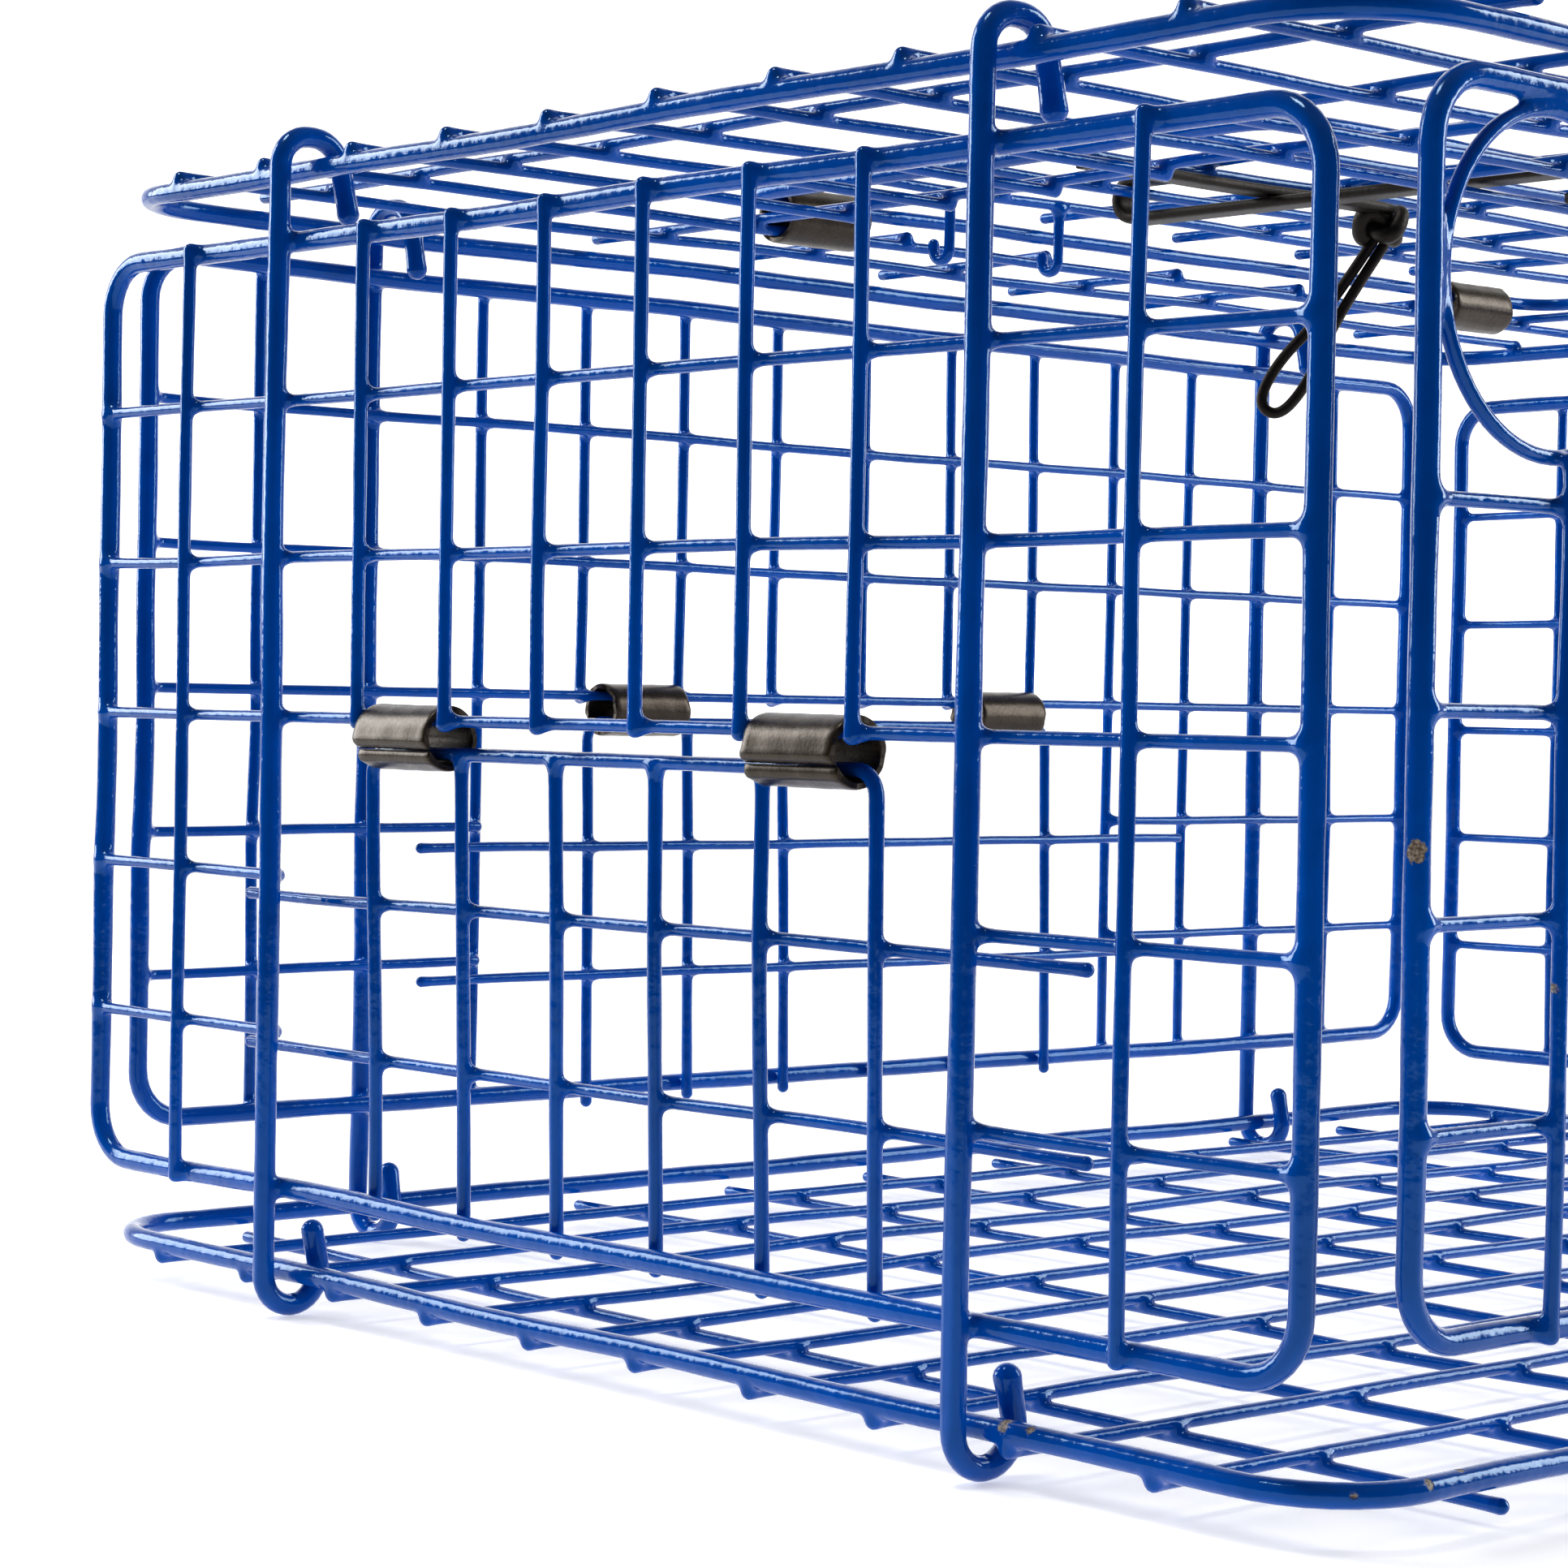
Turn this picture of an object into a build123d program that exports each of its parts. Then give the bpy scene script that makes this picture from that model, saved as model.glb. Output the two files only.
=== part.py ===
from build123d import *
import math
import os

# A folding crab trap made of vinyl-dipped steel wire. Millimetres, +Z up.
# The origin is on the floor, under the middle of the base.
# X runs along the long sides (front and back), Y along the short sides.
# The front is -Y, the back +Y, the left side -X and the right side +X.

# --- driving dimensions ---------------------------------------------------
BASE_HALF_X = 273.5      # rail centreline, half the long side
BASE_HALF_Y = 207.5      # rail centreline, half the short side
RAIL_TO_RAIL = 266.0     # base rail to top rail, centre to centre
RAIL_CORNER = 25.0       # bend of the base and top rails
PANEL_CORNER = 13.0      # bend of the side panel frames

RAIL_R = 2.5             # wire radii over the vinyl coating
FRAME_R = 2.5
ROD_R = 2.6
UPRIGHT_R = 1.6
CROSS_R = 1.4
MESH_R = 1.5
LID_FRAME_R = 2.0
WELD_SINK = 0.4          # how far welded wires press into each other

HOOK_BEND = 8.0          # centreline radius of the hooks round the rails
HOOK_TIP = 12.0          # how far a hook's tip runs past the rail's centre
HOOK_LEAN = 4.5          # top tips lean this far inward, base tips outward
RAIL_Z = HOOK_BEND + ROD_R
TOP_Z = RAIL_Z + RAIL_TO_RAIL

SIDE_BOTTOM = 20.5       # a side panel's bottom wire above the base rail
LONG_BOTTOM = 27.0       # and a long panel's
ROW = 38.0               # height of a panel cell
ROWS = 6

SIDE_PITCH = 34.0        # left and right panels: middle columns
SIDE_EDGE_PITCH = 41.0   # and the two columns outside each rod
LONG_PITCH = 37.07       # front and back panels: all 14 columns
LONG_COLUMNS = 14
LONG_ROD_COLUMN = 2
GATE_SHIFT = LONG_PITCH / 2   # the long panels' gates are half a cell off centre

MESH_CELLS_X = 10        # base and top mesh cells along X
EDGE_CELL_X = 47.0       # the outer cell at each end, narrower than the rest
MESH_CELLS_Y = 11        # and along Y
MESH_SHIFT_Y = 6.0       # the wires along X sit a little off the middle

ROD_OFFSET = HOOK_BEND                                   # outward of the rails
FRAME_OFFSET = ROD_OFFSET - ROD_R - FRAME_R + WELD_SINK
CROSS_OFFSET = FRAME_OFFSET + FRAME_R - CROSS_R
UPRIGHT_OFFSET = FRAME_OFFSET + FRAME_R + UPRIGHT_R - WELD_SINK

CLIP_R = 8.0             # split rubber hinge tube
CLIP_BORE = 5.9
CLIP_LENGTH = 29.0
CLIP_SLIT = 1.6
CLIP_DROP = 4.0          # tube's centre below the panel's middle wire
CLIP_OFFSET = 2.5        # tube's centre outward of the rails
GATE_DROP = 7.6          # gate's hinge wire below the panel's middle wire
GATE_OFFSET = 1.3        # gate's hinge wire outward of the rails
GATE_LENGTH = 111.0
GATE_TILT = 1.5          # degrees inward, leaning on the panel's bottom wire
GATE_BAR_DROPS = (36.0, 73.0)
GATE_BAR_PAST = 1.66     # half length of the bars over half width of the gate
GATE_CORNER = 5.5
GATE_SPREAD = 1.017      # gate's columns over the panel's columns

RING_BORE = 30.2         # escape ring, inside radius
RING_R = 1.5

LID_COLUMNS = (-2, 4)    # mesh wires at the lid opening's ends, along X
LID_ROWS = (-1.5, 3.5)   # and along Y
LID_OVERLAP = 9.0        # lid frame past the opening
LID_WIRE_RISE = 7.8      # lid's hinge wire above the mesh wire it hangs on

STRAP_X = -38.4          # rubber latch strap, running from the lid to the front
STRAP_WIDTH = 9.0
STRAP_THICK = 3.0
STRAP_RISE = 7.2         # strap's middle above the top rails' centre
TAIL_LEFT = -108.4       # the strap's loose tail, running along X
TAIL_Y = 19.0
KNOT = (9.0, 20.0)
PULL_LOOP_LENGTH = 56.0
PULL_LOOP_WIDTH = 9.0
PULL_LOOP_R = 1.7
BAIT_HOOK_XS = (-76.4, -33.5)
BAIT_HOOK_ROW = 2.5


# --- wire helpers ---------------------------------------------------------
def rounded_cylinder(start, end, radius):
    """A straight wire with rounded ends."""
    line = Vector(*end) - Vector(*start)
    rod = Solid.make_cylinder(radius, line.length, Plane(Vector(*start), z_dir=line))
    rims = rod.edges().filter_by(GeomType.CIRCLE)
    return rod.fillet(radius * 0.8, rims)


def plain_cylinder(start, end, radius):
    line = end - start
    return Solid.make_cylinder(radius, line.length, Plane(start, z_dir=line))


def elbow(start, direction, turn_to, bend, radius):
    """A bend from one direction to another. Returns its solids and its end."""
    angle = direction.get_angle(turn_to)
    normal = direction.cross(turn_to).normalized()
    inward = normal.cross(direction).normalized()
    centre = start + inward * bend
    pieces = max(1, round(angle / 45))
    solids = []
    for n in range(pieces):
        spin = Axis(centre, normal)
        disc = Plane(start, z_dir=direction) * Circle(radius)
        part = revolve(disc, axis=spin, revolution_arc=angle / pieces)
        solids.append(part.rotate(spin, n * angle / pieces).solid())
    end = centre - (inward * bend).rotate(Axis((0, 0, 0), normal), angle)
    return solids, end


def bent_wire(points, radius, bend, closed=False):
    """A wire through corner points: straight solids and bends, end to end."""
    corners = [Vector(*p) for p in points]
    count = len(corners)
    if closed:
        turns = list(range(count))
        here = (corners[-1] + corners[0]) * 0.5
        path = turns + [None]
    else:
        turns = list(range(1, count - 1))
        here = corners[0]
        path = turns + [None]
    last = here if closed else corners[-1]
    solids = []
    for n in path:
        if n is None:
            if (last - here).length > 0.01:
                solids.append(plain_cylinder(here, last, radius))
            continue
        corner = corners[n]
        after = corners[(n + 1) % count]
        before = corners[n - 1]
        way_in = (corner - before).normalized()
        way_out = (after - corner).normalized()
        angle = way_in.get_angle(way_out)
        reach = bend * math.tan(math.radians(angle / 2))
        start = corner - way_in * reach
        if (start - here).length > 0.01:
            solids.append(plain_cylinder(here, start, radius))
        arcs, here = elbow(start, way_in, way_out, bend, radius)
        solids += arcs
    return solids


def rectangle_wire(half_x, half_y, z, radius, bend):
    points = [
        (half_x, -half_y, z),
        (half_x, half_y, z),
        (-half_x, half_y, z),
        (-half_x, -half_y, z),
    ]
    return bent_wire(points, radius, bend, closed=True)


def save(name, solids):
    export_step(Compound(children=list(solids)), f"parts/{name}.step")


# --- panels ---------------------------------------------------------------
# A panel is drawn as the front one: along X, outward -Y, Z from the base rail.
def row_z(bottom, row):
    return bottom + ROW * row


def frame_wire(half, bottom):
    top = row_z(bottom, ROWS)
    y = -FRAME_OFFSET
    points = [(-half, y, bottom), (half, y, bottom), (half, y, top), (-half, y, top)]
    return bent_wire(points, FRAME_R, PANEL_CORNER, closed=True)


def hook_rod(x):
    """A rod with a hook over the top rail and a hook under the base rail."""
    low = -HOOK_BEND
    high = RAIL_TO_RAIL + HOOK_BEND
    out = -ROD_OFFSET
    base_corner = HOOK_BEND + HOOK_LEAN / 2
    points = [
        (x, HOOK_BEND + HOOK_LEAN, RAIL_TO_RAIL - HOOK_TIP),
        (x, HOOK_BEND, high),
        (x, out, high),
        (x, out, low),
        (x, base_corner, low),
        (x, base_corner - HOOK_LEAN, HOOK_TIP),
    ]
    return bent_wire(points, ROD_R, HOOK_BEND)


def upright(x, low, high):
    y = -UPRIGHT_OFFSET
    return rounded_cylinder((x, y, low - 2.5), (x, y, high + 2.5), UPRIGHT_R)


def crossbar(left, right, z):
    y = -CROSS_OFFSET
    return rounded_cylinder((left, y, z), (right, y, z), CROSS_R)


def hinge_tube(x, y, z, slit_angle):
    """A split tube along X, with its slit facing outward and down."""
    plane = Plane((x - CLIP_LENGTH / 2, y, z), x_dir=(0, 0, 1), z_dir=(1, 0, 0))
    ring = plane * (Circle(CLIP_R) - Circle(CLIP_BORE))
    tube = extrude(ring, CLIP_LENGTH)
    slit = Box(CLIP_LENGTH + 2, CLIP_R, CLIP_SLIT)
    slit = Pos(0, -CLIP_R / 2 - 2, 0) * slit
    slit = Pos(x, y, z) * Rot(slit_angle, 0, 0) * slit
    return (tube - slit).solid()


def gate(centre, pitch, middle):
    """Returns the gate's hoop, its inner tines and its two bars."""
    half = 2.5 * pitch
    tilt = math.radians(GATE_TILT)

    def spot(x, drop, inward=0.0):
        """A point on the gate: drop along its slope from the hinge wire."""
        y = -GATE_OFFSET + drop * math.sin(tilt) + inward * math.cos(tilt)
        z = middle - GATE_DROP - drop * math.cos(tilt) + inward * math.sin(tilt)
        return (centre + x, y, z)

    hoop_points = [
        spot(-half, GATE_LENGTH),
        spot(-half, 0),
        spot(half, 0),
        spot(half, GATE_LENGTH),
    ]
    hoop = bent_wire(hoop_points, UPRIGHT_R, GATE_CORNER)
    tines = []
    for n in (-1.5, -0.5, 0.5, 1.5):
        x = n * pitch
        tines.append(rounded_cylinder(spot(x, 1.0), spot(x, GATE_LENGTH), UPRIGHT_R))
    bars = []
    inward = UPRIGHT_R + CROSS_R - WELD_SINK
    for drop in GATE_BAR_DROPS:
        reach = half * GATE_BAR_PAST
        bars.append(rounded_cylinder(spot(-reach, drop, inward), spot(reach, drop, inward), CROSS_R))
    return hoop, tines, bars


def side_panel():
    """The left or right panel: its nodes' solids by short name."""
    rows = [row_z(SIDE_BOTTOM, row) for row in range(ROWS + 1)]
    rod_x = 3.5 * SIDE_PITCH
    half = rod_x + 2 * SIDE_EDGE_PITCH
    uprights = []
    for side in (-1, 1):
        uprights.append(upright(side * (half - SIDE_EDGE_PITCH), rows[0], rows[6]))
    for n in (-2.5, -1.5, -0.5, 0.5, 1.5, 2.5):
        uprights.append(upright(n * SIDE_PITCH, rows[3], rows[6]))
    bars = [crossbar(-half, half, rows[row]) for row in (3, 4, 5)]
    for row in (1, 2):
        bars.append(crossbar(-half, -rod_x, rows[row]))
        bars.append(crossbar(rod_x, half, rows[row]))
    clips = []
    for side in (-1, 1):
        clips.append(hinge_tube(side * 2 * SIDE_PITCH, -CLIP_OFFSET, rows[3] - CLIP_DROP, 25))
    hoop, tines, gate_bars = gate(0, SIDE_PITCH * GATE_SPREAD, rows[3])
    return {
        "frame": frame_wire(half, SIDE_BOTTOM),
        "hook_rods": hook_rod(-rod_x) + hook_rod(rod_x),
        "uprights": uprights,
        "crossbars": bars,
        "hinge_clips": clips,
        "gate_hoop": hoop,
        "gate_tines": tines,
        "gate_bars": gate_bars,
    }


def ring_centre():
    """The escape ring in the left upper corner, seen from outside."""
    half = LONG_PITCH * LONG_COLUMNS / 2
    reach = FRAME_R + RING_BORE + 2 * RING_R - WELD_SINK
    return -half + reach, row_z(LONG_BOTTOM, ROWS) - reach


def escape_ring(x, z):
    middle = RING_BORE + RING_R
    hoop = []
    spin = Axis((x, -FRAME_OFFSET, z), (0, 1, 0))
    disc = Plane((x + middle, -FRAME_OFFSET, z), z_dir=(0, 0, 1)) * Circle(RING_R)
    arc = revolve(disc, axis=spin, revolution_arc=30).solid()
    for n in range(12):
        hoop.append(arc.rotate(spin, n * 30))
    return hoop


def long_panel(with_rings):
    """The front or back panel: its nodes' solids by short name."""
    rows = [row_z(LONG_BOTTOM, row) for row in range(ROWS + 1)]
    half = LONG_PITCH * LONG_COLUMNS / 2
    rod_x = half - LONG_PITCH * LONG_ROD_COLUMN
    ring_x, ring_z = ring_centre()
    ring_outer = RING_BORE + 2 * RING_R
    gate_edge = (GATE_SHIFT - 3.5 * LONG_PITCH, GATE_SHIFT + 3.5 * LONG_PITCH)
    uprights = []
    for n in range(1, LONG_COLUMNS):
        x = -half + n * LONG_PITCH
        if n in (LONG_ROD_COLUMN, LONG_COLUMNS - LONG_ROD_COLUMN):
            continue
        above_gate = gate_edge[0] + 1 < x < gate_edge[1] - 1
        low = rows[3] if above_gate else rows[0]
        high = rows[6]
        if with_rings and n in (1, LONG_COLUMNS - 1):
            high = ring_z - ring_outer
        uprights.append(upright(x, low, high))
    bars = [crossbar(-half, half, rows[row]) for row in (3, 4)]
    inner = ring_x + ring_outer - WELD_SINK if with_rings else -half
    bars.append(crossbar(inner, -inner, rows[5]))
    for row in (1, 2):
        bars.append(crossbar(-half, gate_edge[0], rows[row]))
        bars.append(crossbar(gate_edge[1], half, rows[row]))
    clips = []
    for side in (-1, 1):
        x = GATE_SHIFT + side * 2 * LONG_PITCH
        clips.append(hinge_tube(x, -CLIP_OFFSET, rows[3] - CLIP_DROP, 25))
    hoop, tines, gate_bars = gate(GATE_SHIFT, LONG_PITCH * GATE_SPREAD, rows[3])
    pieces = {
        "frame": frame_wire(half, LONG_BOTTOM),
        "hook_rods": hook_rod(-rod_x) + hook_rod(rod_x),
        "uprights": uprights,
        "crossbars": bars,
        "hinge_clips": clips,
        "gate_hoop": hoop,
        "gate_tines": tines,
        "gate_bars": gate_bars,
    }
    if with_rings:
        pieces["escape_rings"] = escape_ring(ring_x, ring_z) + escape_ring(-ring_x, ring_z)
    return pieces


def place_panel(side, pieces, turn, out):
    spot = Rot(0, 0, turn) * Pos(0, -out, RAIL_Z)
    for name, solids in pieces.items():
        save(f"{side}_{name}", [spot * solid for solid in solids])


# --- base and top ---------------------------------------------------------
def mesh_x(n):
    """X of a wire, n cells from the middle."""
    return n * (BASE_HALF_X - EDGE_CELL_X) / (MESH_CELLS_X / 2 - 1)


def mesh_y(n):
    return MESH_SHIFT_Y + n * 2 * BASE_HALF_Y / MESH_CELLS_Y


CROSS_RISE = RAIL_R + MESH_R - 0.5           # X wires, from the rails' centre
LONG_RISE = CROSS_RISE + 2 * MESH_R - WELD_SINK   # Y wires, beyond the X wires
END_PAST = 1.8


def x_wire(left, right, y, z):
    return rounded_cylinder((left, y, z), (right, y, z), MESH_R)


def y_wire(front, back, x, z):
    return rounded_cylinder((x, front, z), (x, back, z), MESH_R)


def make_base():
    save("base_frame", rectangle_wire(BASE_HALF_X, BASE_HALF_Y, RAIL_Z, RAIL_R, RAIL_CORNER))
    edge_x = BASE_HALF_X + END_PAST
    edge_y = BASE_HALF_Y + END_PAST
    cross = []
    for n in range(MESH_CELLS_Y - 1):
        y = mesh_y(n - MESH_CELLS_Y / 2 + 1)
        cross.append(x_wire(-edge_x, edge_x, y, RAIL_Z - CROSS_RISE))
    save("base_cross_wires", cross)
    long = []
    for n in range(MESH_CELLS_X - 1):
        x = mesh_x(n - MESH_CELLS_X / 2 + 1)
        long.append(y_wire(-edge_y, edge_y, x, RAIL_Z - LONG_RISE))
    save("base_long_wires", long)


def make_top():
    save("top_frame", rectangle_wire(BASE_HALF_X, BASE_HALF_Y, TOP_Z, RAIL_R, RAIL_CORNER))
    edge_x = BASE_HALF_X + END_PAST
    edge_y = BASE_HALF_Y + END_PAST
    open_left = mesh_x(LID_COLUMNS[0]) + END_PAST
    open_right = mesh_x(LID_COLUMNS[1]) - END_PAST
    open_front = mesh_y(LID_ROWS[0]) + END_PAST
    open_back = mesh_y(LID_ROWS[1]) - END_PAST
    cross = []
    for n in range(MESH_CELLS_Y - 1):
        y = mesh_y(n - MESH_CELLS_Y / 2 + 1)
        z = TOP_Z + CROSS_RISE
        if y < open_front or y > open_back:
            cross.append(x_wire(-edge_x, edge_x, y, z))
        else:
            cross.append(x_wire(-edge_x, open_left, y, z))
            cross.append(x_wire(open_right, edge_x, y, z))
    save("top_cross_wires", cross)
    long = []
    for n in range(MESH_CELLS_X - 1):
        x = mesh_x(n - MESH_CELLS_X / 2 + 1)
        z = TOP_Z + LONG_RISE
        if x < open_left or x > open_right:
            long.append(y_wire(-edge_y, edge_y, x, z))
        else:
            long.append(y_wire(-edge_y, open_front, x, z))
            long.append(y_wire(open_back, edge_y, x, z))
    save("top_long_wires", long)
    clips = []
    for x in LID_CLIP_XS:
        clips.append(hinge_tube(x, LID_BACK_Y, TOP_Z + CROSS_RISE + 4.2, -90))
    save("lid_hinge_clips", clips)


LID_Z = TOP_Z + CROSS_RISE + LID_WIRE_RISE
LID_BACK_Y = mesh_y(LID_ROWS[1])
LID_FRONT_Y = mesh_y(LID_ROWS[0]) - LID_OVERLAP
LID_LEFT = mesh_x(LID_COLUMNS[0]) - LID_OVERLAP
LID_RIGHT = mesh_x(LID_COLUMNS[1]) + LID_OVERLAP
LID_CLIP_XS = (mesh_x(LID_COLUMNS[0]) + 21.0, mesh_x(LID_COLUMNS[1] - 0.5))


def make_lid():
    points = [
        (LID_RIGHT, LID_FRONT_Y, LID_Z),
        (LID_RIGHT, LID_BACK_Y, LID_Z),
        (LID_LEFT, LID_BACK_Y, LID_Z),
        (LID_LEFT, LID_FRONT_Y, LID_Z),
    ]
    save("lid_frame", bent_wire(points, LID_FRAME_R, PANEL_CORNER, closed=True))
    cross_z = LID_Z + LID_FRAME_R + MESH_R - WELD_SINK
    long_z = cross_z + 2 * MESH_R - WELD_SINK
    cross = []
    for n in (-0.5, 0.5, 1.5, 2.5):
        y = mesh_y(n)
        cross.append(x_wire(LID_LEFT - END_PAST, LID_RIGHT + END_PAST, y, cross_z))
    save("lid_cross_wires", cross)
    long = []
    for n in range(LID_COLUMNS[0] + 1, LID_COLUMNS[1]):
        x = mesh_x(n)
        long.append(y_wire(LID_FRONT_Y - END_PAST, LID_BACK_Y + END_PAST, x, long_z))
    save("lid_long_wires", long)


def band(y, z, length, thickness=STRAP_THICK):
    return Pos(y, z) * Rectangle(length, thickness)


def half_band(y, z, middle, side):
    """Half a turn of the strap, on the +Y or the -Y side of its centre."""
    outer = middle + STRAP_THICK / 2
    ring = Circle(outer) - Circle(middle - STRAP_THICK / 2)
    half = Pos(side * outer / 2, 0) * Rectangle(outer, 2 * outer)
    return Pos(y, z) * (ring & half)


def make_strap():
    """The latch strap: round a lid wire, forward, and under a front mesh wire."""
    low = TOP_Z + STRAP_RISE
    hook_y = mesh_y(LID_ROWS[0] - 1)
    hook_turn = STRAP_RISE - CROSS_RISE
    back_y = mesh_y(1.5) + 2.9
    back_turn = 5.3
    front = half_band(hook_y, low - hook_turn, hook_turn, -1)
    back = half_band(back_y, low + back_turn, back_turn, 1)
    strip = band((hook_y + back_y) / 2, low, back_y - hook_y)
    under = band(hook_y + 5, low - 2 * hook_turn, 10)
    over = band(back_y - 7, low + 2 * back_turn, 14)
    profile = strip + front + back + under + over
    strap = extrude(Plane.YZ * profile, STRAP_WIDTH)
    save("lid_strap", [Pos(STRAP_X - STRAP_WIDTH / 2, 0, 0) * strap.solid()])
    tail_z = low + STRAP_THICK + 0.3
    tail = Box(KNOT[0] - TAIL_LEFT, STRAP_WIDTH, STRAP_THICK)
    tail = tail.fillet(0.8, tail.edges().filter_by(Axis.X))
    save("lid_strap_tail", [Pos((KNOT[0] + TAIL_LEFT) / 2, TAIL_Y, tail_z) * tail.solid()])
    ball = scale(Sphere(1), by=(9.0, 8.0, 5.8))
    save("lid_strap_knot", [Pos(KNOT[0], KNOT[1], TOP_Z + 6.4) * ball.solid()])


def make_pull_loop():
    """A long rubber loop that hangs at a slant from the knot."""
    start = Vector(KNOT[0], KNOT[1], TOP_Z + 3)
    down = Vector(-22, 20, -47).normalized()
    across = down.cross(Vector(0.7, 0.7, 0)).normalized()
    half = across * (PULL_LOOP_WIDTH / 2)
    end = start + down * PULL_LOOP_LENGTH
    points = [tuple(p) for p in (start - half, start + half, end + half, end - half)]
    save("lid_pull_loop", bent_wire(points, PULL_LOOP_R, PULL_LOOP_WIDTH / 2 - 0.001, closed=True))


def make_bait_hooks():
    """Two small hooks that hang from the lid into the trap."""
    top = LID_Z + LID_FRAME_R + MESH_R - WELD_SINK
    solids = []
    y = mesh_y(BAIT_HOOK_ROW)
    low = TOP_Z - 4.0
    for x in BAIT_HOOK_XS:
        points = [(x, y, top), (x, y, low), (x, y + 6.2, low), (x, y + 6.2, low + 6)]
        solids += bent_wire(points, MESH_R, 3.0)
    save("lid_bait_hooks", solids)


os.makedirs("parts", exist_ok=True)
make_base()
place_panel("front", long_panel(True), 0, BASE_HALF_Y)
place_panel("left", side_panel(), -90, BASE_HALF_X)
place_panel("back", long_panel(False), 180, BASE_HALF_Y)
place_panel("right", side_panel(), 90, BASE_HALF_X)
make_top()
make_lid()
make_strap()
make_pull_loop()
make_bait_hooks()
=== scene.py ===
import math

import bpy
import numpy as np
from mathutils import Matrix, Vector


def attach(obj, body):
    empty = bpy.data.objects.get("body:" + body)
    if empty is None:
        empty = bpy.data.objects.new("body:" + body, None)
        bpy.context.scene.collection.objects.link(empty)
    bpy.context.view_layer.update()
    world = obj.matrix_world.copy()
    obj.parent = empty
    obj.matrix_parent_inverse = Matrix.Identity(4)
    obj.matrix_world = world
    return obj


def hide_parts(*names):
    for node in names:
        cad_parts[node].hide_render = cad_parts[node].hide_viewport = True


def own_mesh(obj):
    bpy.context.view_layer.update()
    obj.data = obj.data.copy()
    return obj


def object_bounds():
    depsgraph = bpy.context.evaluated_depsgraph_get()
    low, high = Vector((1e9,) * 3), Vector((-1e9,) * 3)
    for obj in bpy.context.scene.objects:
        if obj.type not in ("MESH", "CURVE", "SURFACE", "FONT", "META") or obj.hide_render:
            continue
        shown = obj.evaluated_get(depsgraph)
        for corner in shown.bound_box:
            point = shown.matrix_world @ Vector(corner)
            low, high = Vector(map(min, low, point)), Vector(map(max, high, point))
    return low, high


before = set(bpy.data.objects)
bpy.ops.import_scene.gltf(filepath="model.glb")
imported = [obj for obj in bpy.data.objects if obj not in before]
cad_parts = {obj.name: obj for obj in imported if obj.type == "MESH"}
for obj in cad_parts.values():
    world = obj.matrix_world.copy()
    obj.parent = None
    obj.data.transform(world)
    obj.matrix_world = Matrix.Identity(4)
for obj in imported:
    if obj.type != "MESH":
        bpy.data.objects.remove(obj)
cad_low, cad_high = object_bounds()
MM = 0.001
BOX_LOW = np.array(cad_low) / MM
BOX_HIGH = np.array(cad_high) / MM

# --- dimensions in millimetres, as in the CAD ------------------------------
BASE_HALF_X, BASE_HALF_Y, RAIL_TO_RAIL = 273.5, 207.5, 266.0
RAIL_CORNER, PANEL_CORNER = 25.0, 13.0
RAIL_R, FRAME_R, ROD_R, UPRIGHT_R = 2.5, 2.5, 2.6, 1.6
CROSS_R, MESH_R, LID_FRAME_R, RING_R = 1.4, 1.5, 2.0, 1.5
SINK = 0.4
HOOK_BEND, HOOK_TIP, HOOK_LEAN = 8.0, 12.0, 4.5
RAIL_Z = HOOK_BEND + ROD_R
TOP_Z = RAIL_Z + RAIL_TO_RAIL
SIDE_BOTTOM, LONG_BOTTOM, ROW, ROWS = 20.5, 27.0, 38.0, 6
SIDE_PITCH, SIDE_EDGE_PITCH = 34.0, 41.0
LONG_PITCH, LONG_COLUMNS, LONG_ROD_COLUMN = 37.07, 14, 2
GATE_SHIFT = LONG_PITCH / 2
MESH_CELLS_X, EDGE_CELL_X, MESH_CELLS_Y, MESH_SHIFT_Y = 10, 47.0, 11, 6.0
ROD_OFFSET = HOOK_BEND
FRAME_OFFSET = ROD_OFFSET - ROD_R - FRAME_R + SINK
CROSS_OFFSET = FRAME_OFFSET + FRAME_R - CROSS_R
UPRIGHT_OFFSET = FRAME_OFFSET + FRAME_R + UPRIGHT_R - SINK
CLIP_R, CLIP_BORE, CLIP_LENGTH = 8.0, 5.9, 29.0
CLIP_DROP, CLIP_OFFSET = 4.0, 2.5
SLIT_SEEN = 0.5
CLIP_SEEN_LENGTH, CLIP_SHIFT = 28.2, 0.4   # so that a swinging gate's tine clears the tube
GATE_DROP, GATE_OFFSET, GATE_LENGTH, GATE_TILT = 7.6, 1.3, 111.0, math.radians(1.5)
GATE_BAR_DROPS, GATE_BAR_PAST, GATE_CORNER, GATE_SPREAD = (36.0, 73.0), 1.66, 5.5, 1.017
RING_BORE = 30.2
RING_MIDDLE, RING_STEPS = RING_BORE + RING_R, 72
LID_COLUMNS, LID_ROWS, LID_OVERLAP, LID_WIRE_RISE = (-2, 4), (-1.5, 3.5), 9.0, 7.8
CROSS_RISE = RAIL_R + MESH_R - 0.5
LONG_RISE = CROSS_RISE + 2 * MESH_R - SINK
END_PAST = 1.8
STRAP_X, STRAP_WIDTH, STRAP_THICK, STRAP_RISE = -38.4, 9.0, 3.0, 7.2
TAIL_Y, TAIL_LEFT = 19.0, -108.4
KNOT = (9.0, 20.0)
PULL_LENGTH, PULL_WIDTH, LOOP_SEEN_R = 56.0, 9.0, 1.5
BAIT_HOOK_XS, BAIT_HOOK_ROW = (-76.4, -33.5), 2.5

# --- how the dipped coat looks ---------------------------------------------
SAMPLE = 5.0             # spacing of a wire's rings
SIDES = 12
WELD_GAP = 0.9           # wires nearer than this are joined by a web of coat
WEB = 2.7                # width of that web
WEB_GRID = 0.62
WEB_SINK = 0.012

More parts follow.
